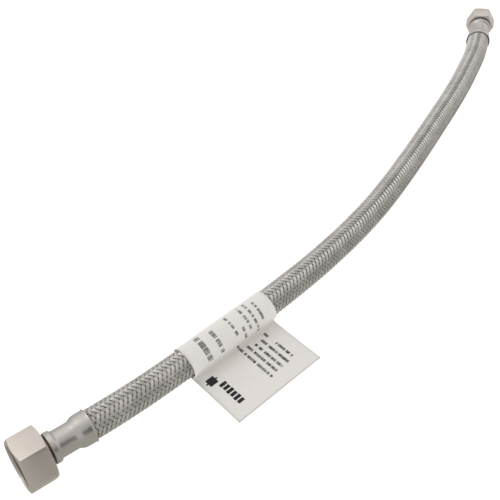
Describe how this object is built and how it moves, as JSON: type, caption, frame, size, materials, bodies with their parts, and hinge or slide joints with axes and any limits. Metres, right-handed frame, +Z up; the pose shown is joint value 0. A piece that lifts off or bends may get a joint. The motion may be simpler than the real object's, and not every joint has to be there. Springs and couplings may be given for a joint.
{
  "type": "braided supply line",
  "caption": "Flexible water supply line: rubber tube in a stainless braid, crimp ferrules, a swivel pipe-thread nut and a swivel compression nut, and a looped paper tag.",
  "frame": {"origin": "on the plane the line lies on, under the middle of the box round the two fittings and the tag", "axes": "+Z up; the line runs from the pipe-thread nut at -X -Y to the compression nut at +X +Y, bending to the left"},
  "size_m": [0.3116, 0.3517, 0.0249],
  "materials": {
    "stainless_braid": "woven bright wire",
    "black_rubber": "matt",
    "polished_stainless": "polished",
    "bare_brass": "machined",
    "nickel_plate": "satin nickel plating on brass",
    "tag_paper": "matt printed label paper"
  },
  "bodies": {
    "hose": {"braid_sleeve": "stainless_braid", "inner_tube": "black_rubber", "fip_ferrule": "polished_stainless", "fip_nipple": "bare_brass", "comp_ferrule": "polished_stainless", "comp_nipple": "bare_brass"},
    "fip_washer": {"fip_washer": "black_rubber"},
    "fip_nut": {"fip_nut": "nickel_plate"},
    "comp_seal": {"comp_seal": "black_rubber"},
    "comp_nut": {"comp_nut": "nickel_plate"},
    "label": {"label_tag": "tag_paper"}
  },
  "joints": [
    {"name": "fip_nut_play", "type": "slide", "parent": "hose", "child": "fip_washer", "axis": [0.8309, 0.551, -0.0778], "range_m": [0, 0.0011]},
    {"name": "fip_nut_swivel", "type": "hinge", "parent": "fip_washer", "child": "fip_nut", "pos_m": [-0.14347, -0.16124, 0.01243], "axis": [-0.8309, -0.551, 0.0778], "continuous": true},
    {"name": "comp_nut_play", "type": "slide", "parent": "hose", "child": "comp_seal", "axis": [-0.3367, -0.9415, -0.0131], "range_m": [0, 0.0009]},
    {"name": "comp_nut_swivel", "type": "hinge", "parent": "comp_seal", "child": "comp_nut", "pos_m": [0.14487, 0.16732, 0.00857], "axis": [0.3367, 0.9415, 0.0131], "continuous": true},
    {"name": "tag_turn", "type": "hinge", "parent": "hose", "child": "label", "pos_m": [-0.05771, -0.10057, 0.00807], "axis": [0.7997, 0.6003, 0], "continuous": true}
  ]
}
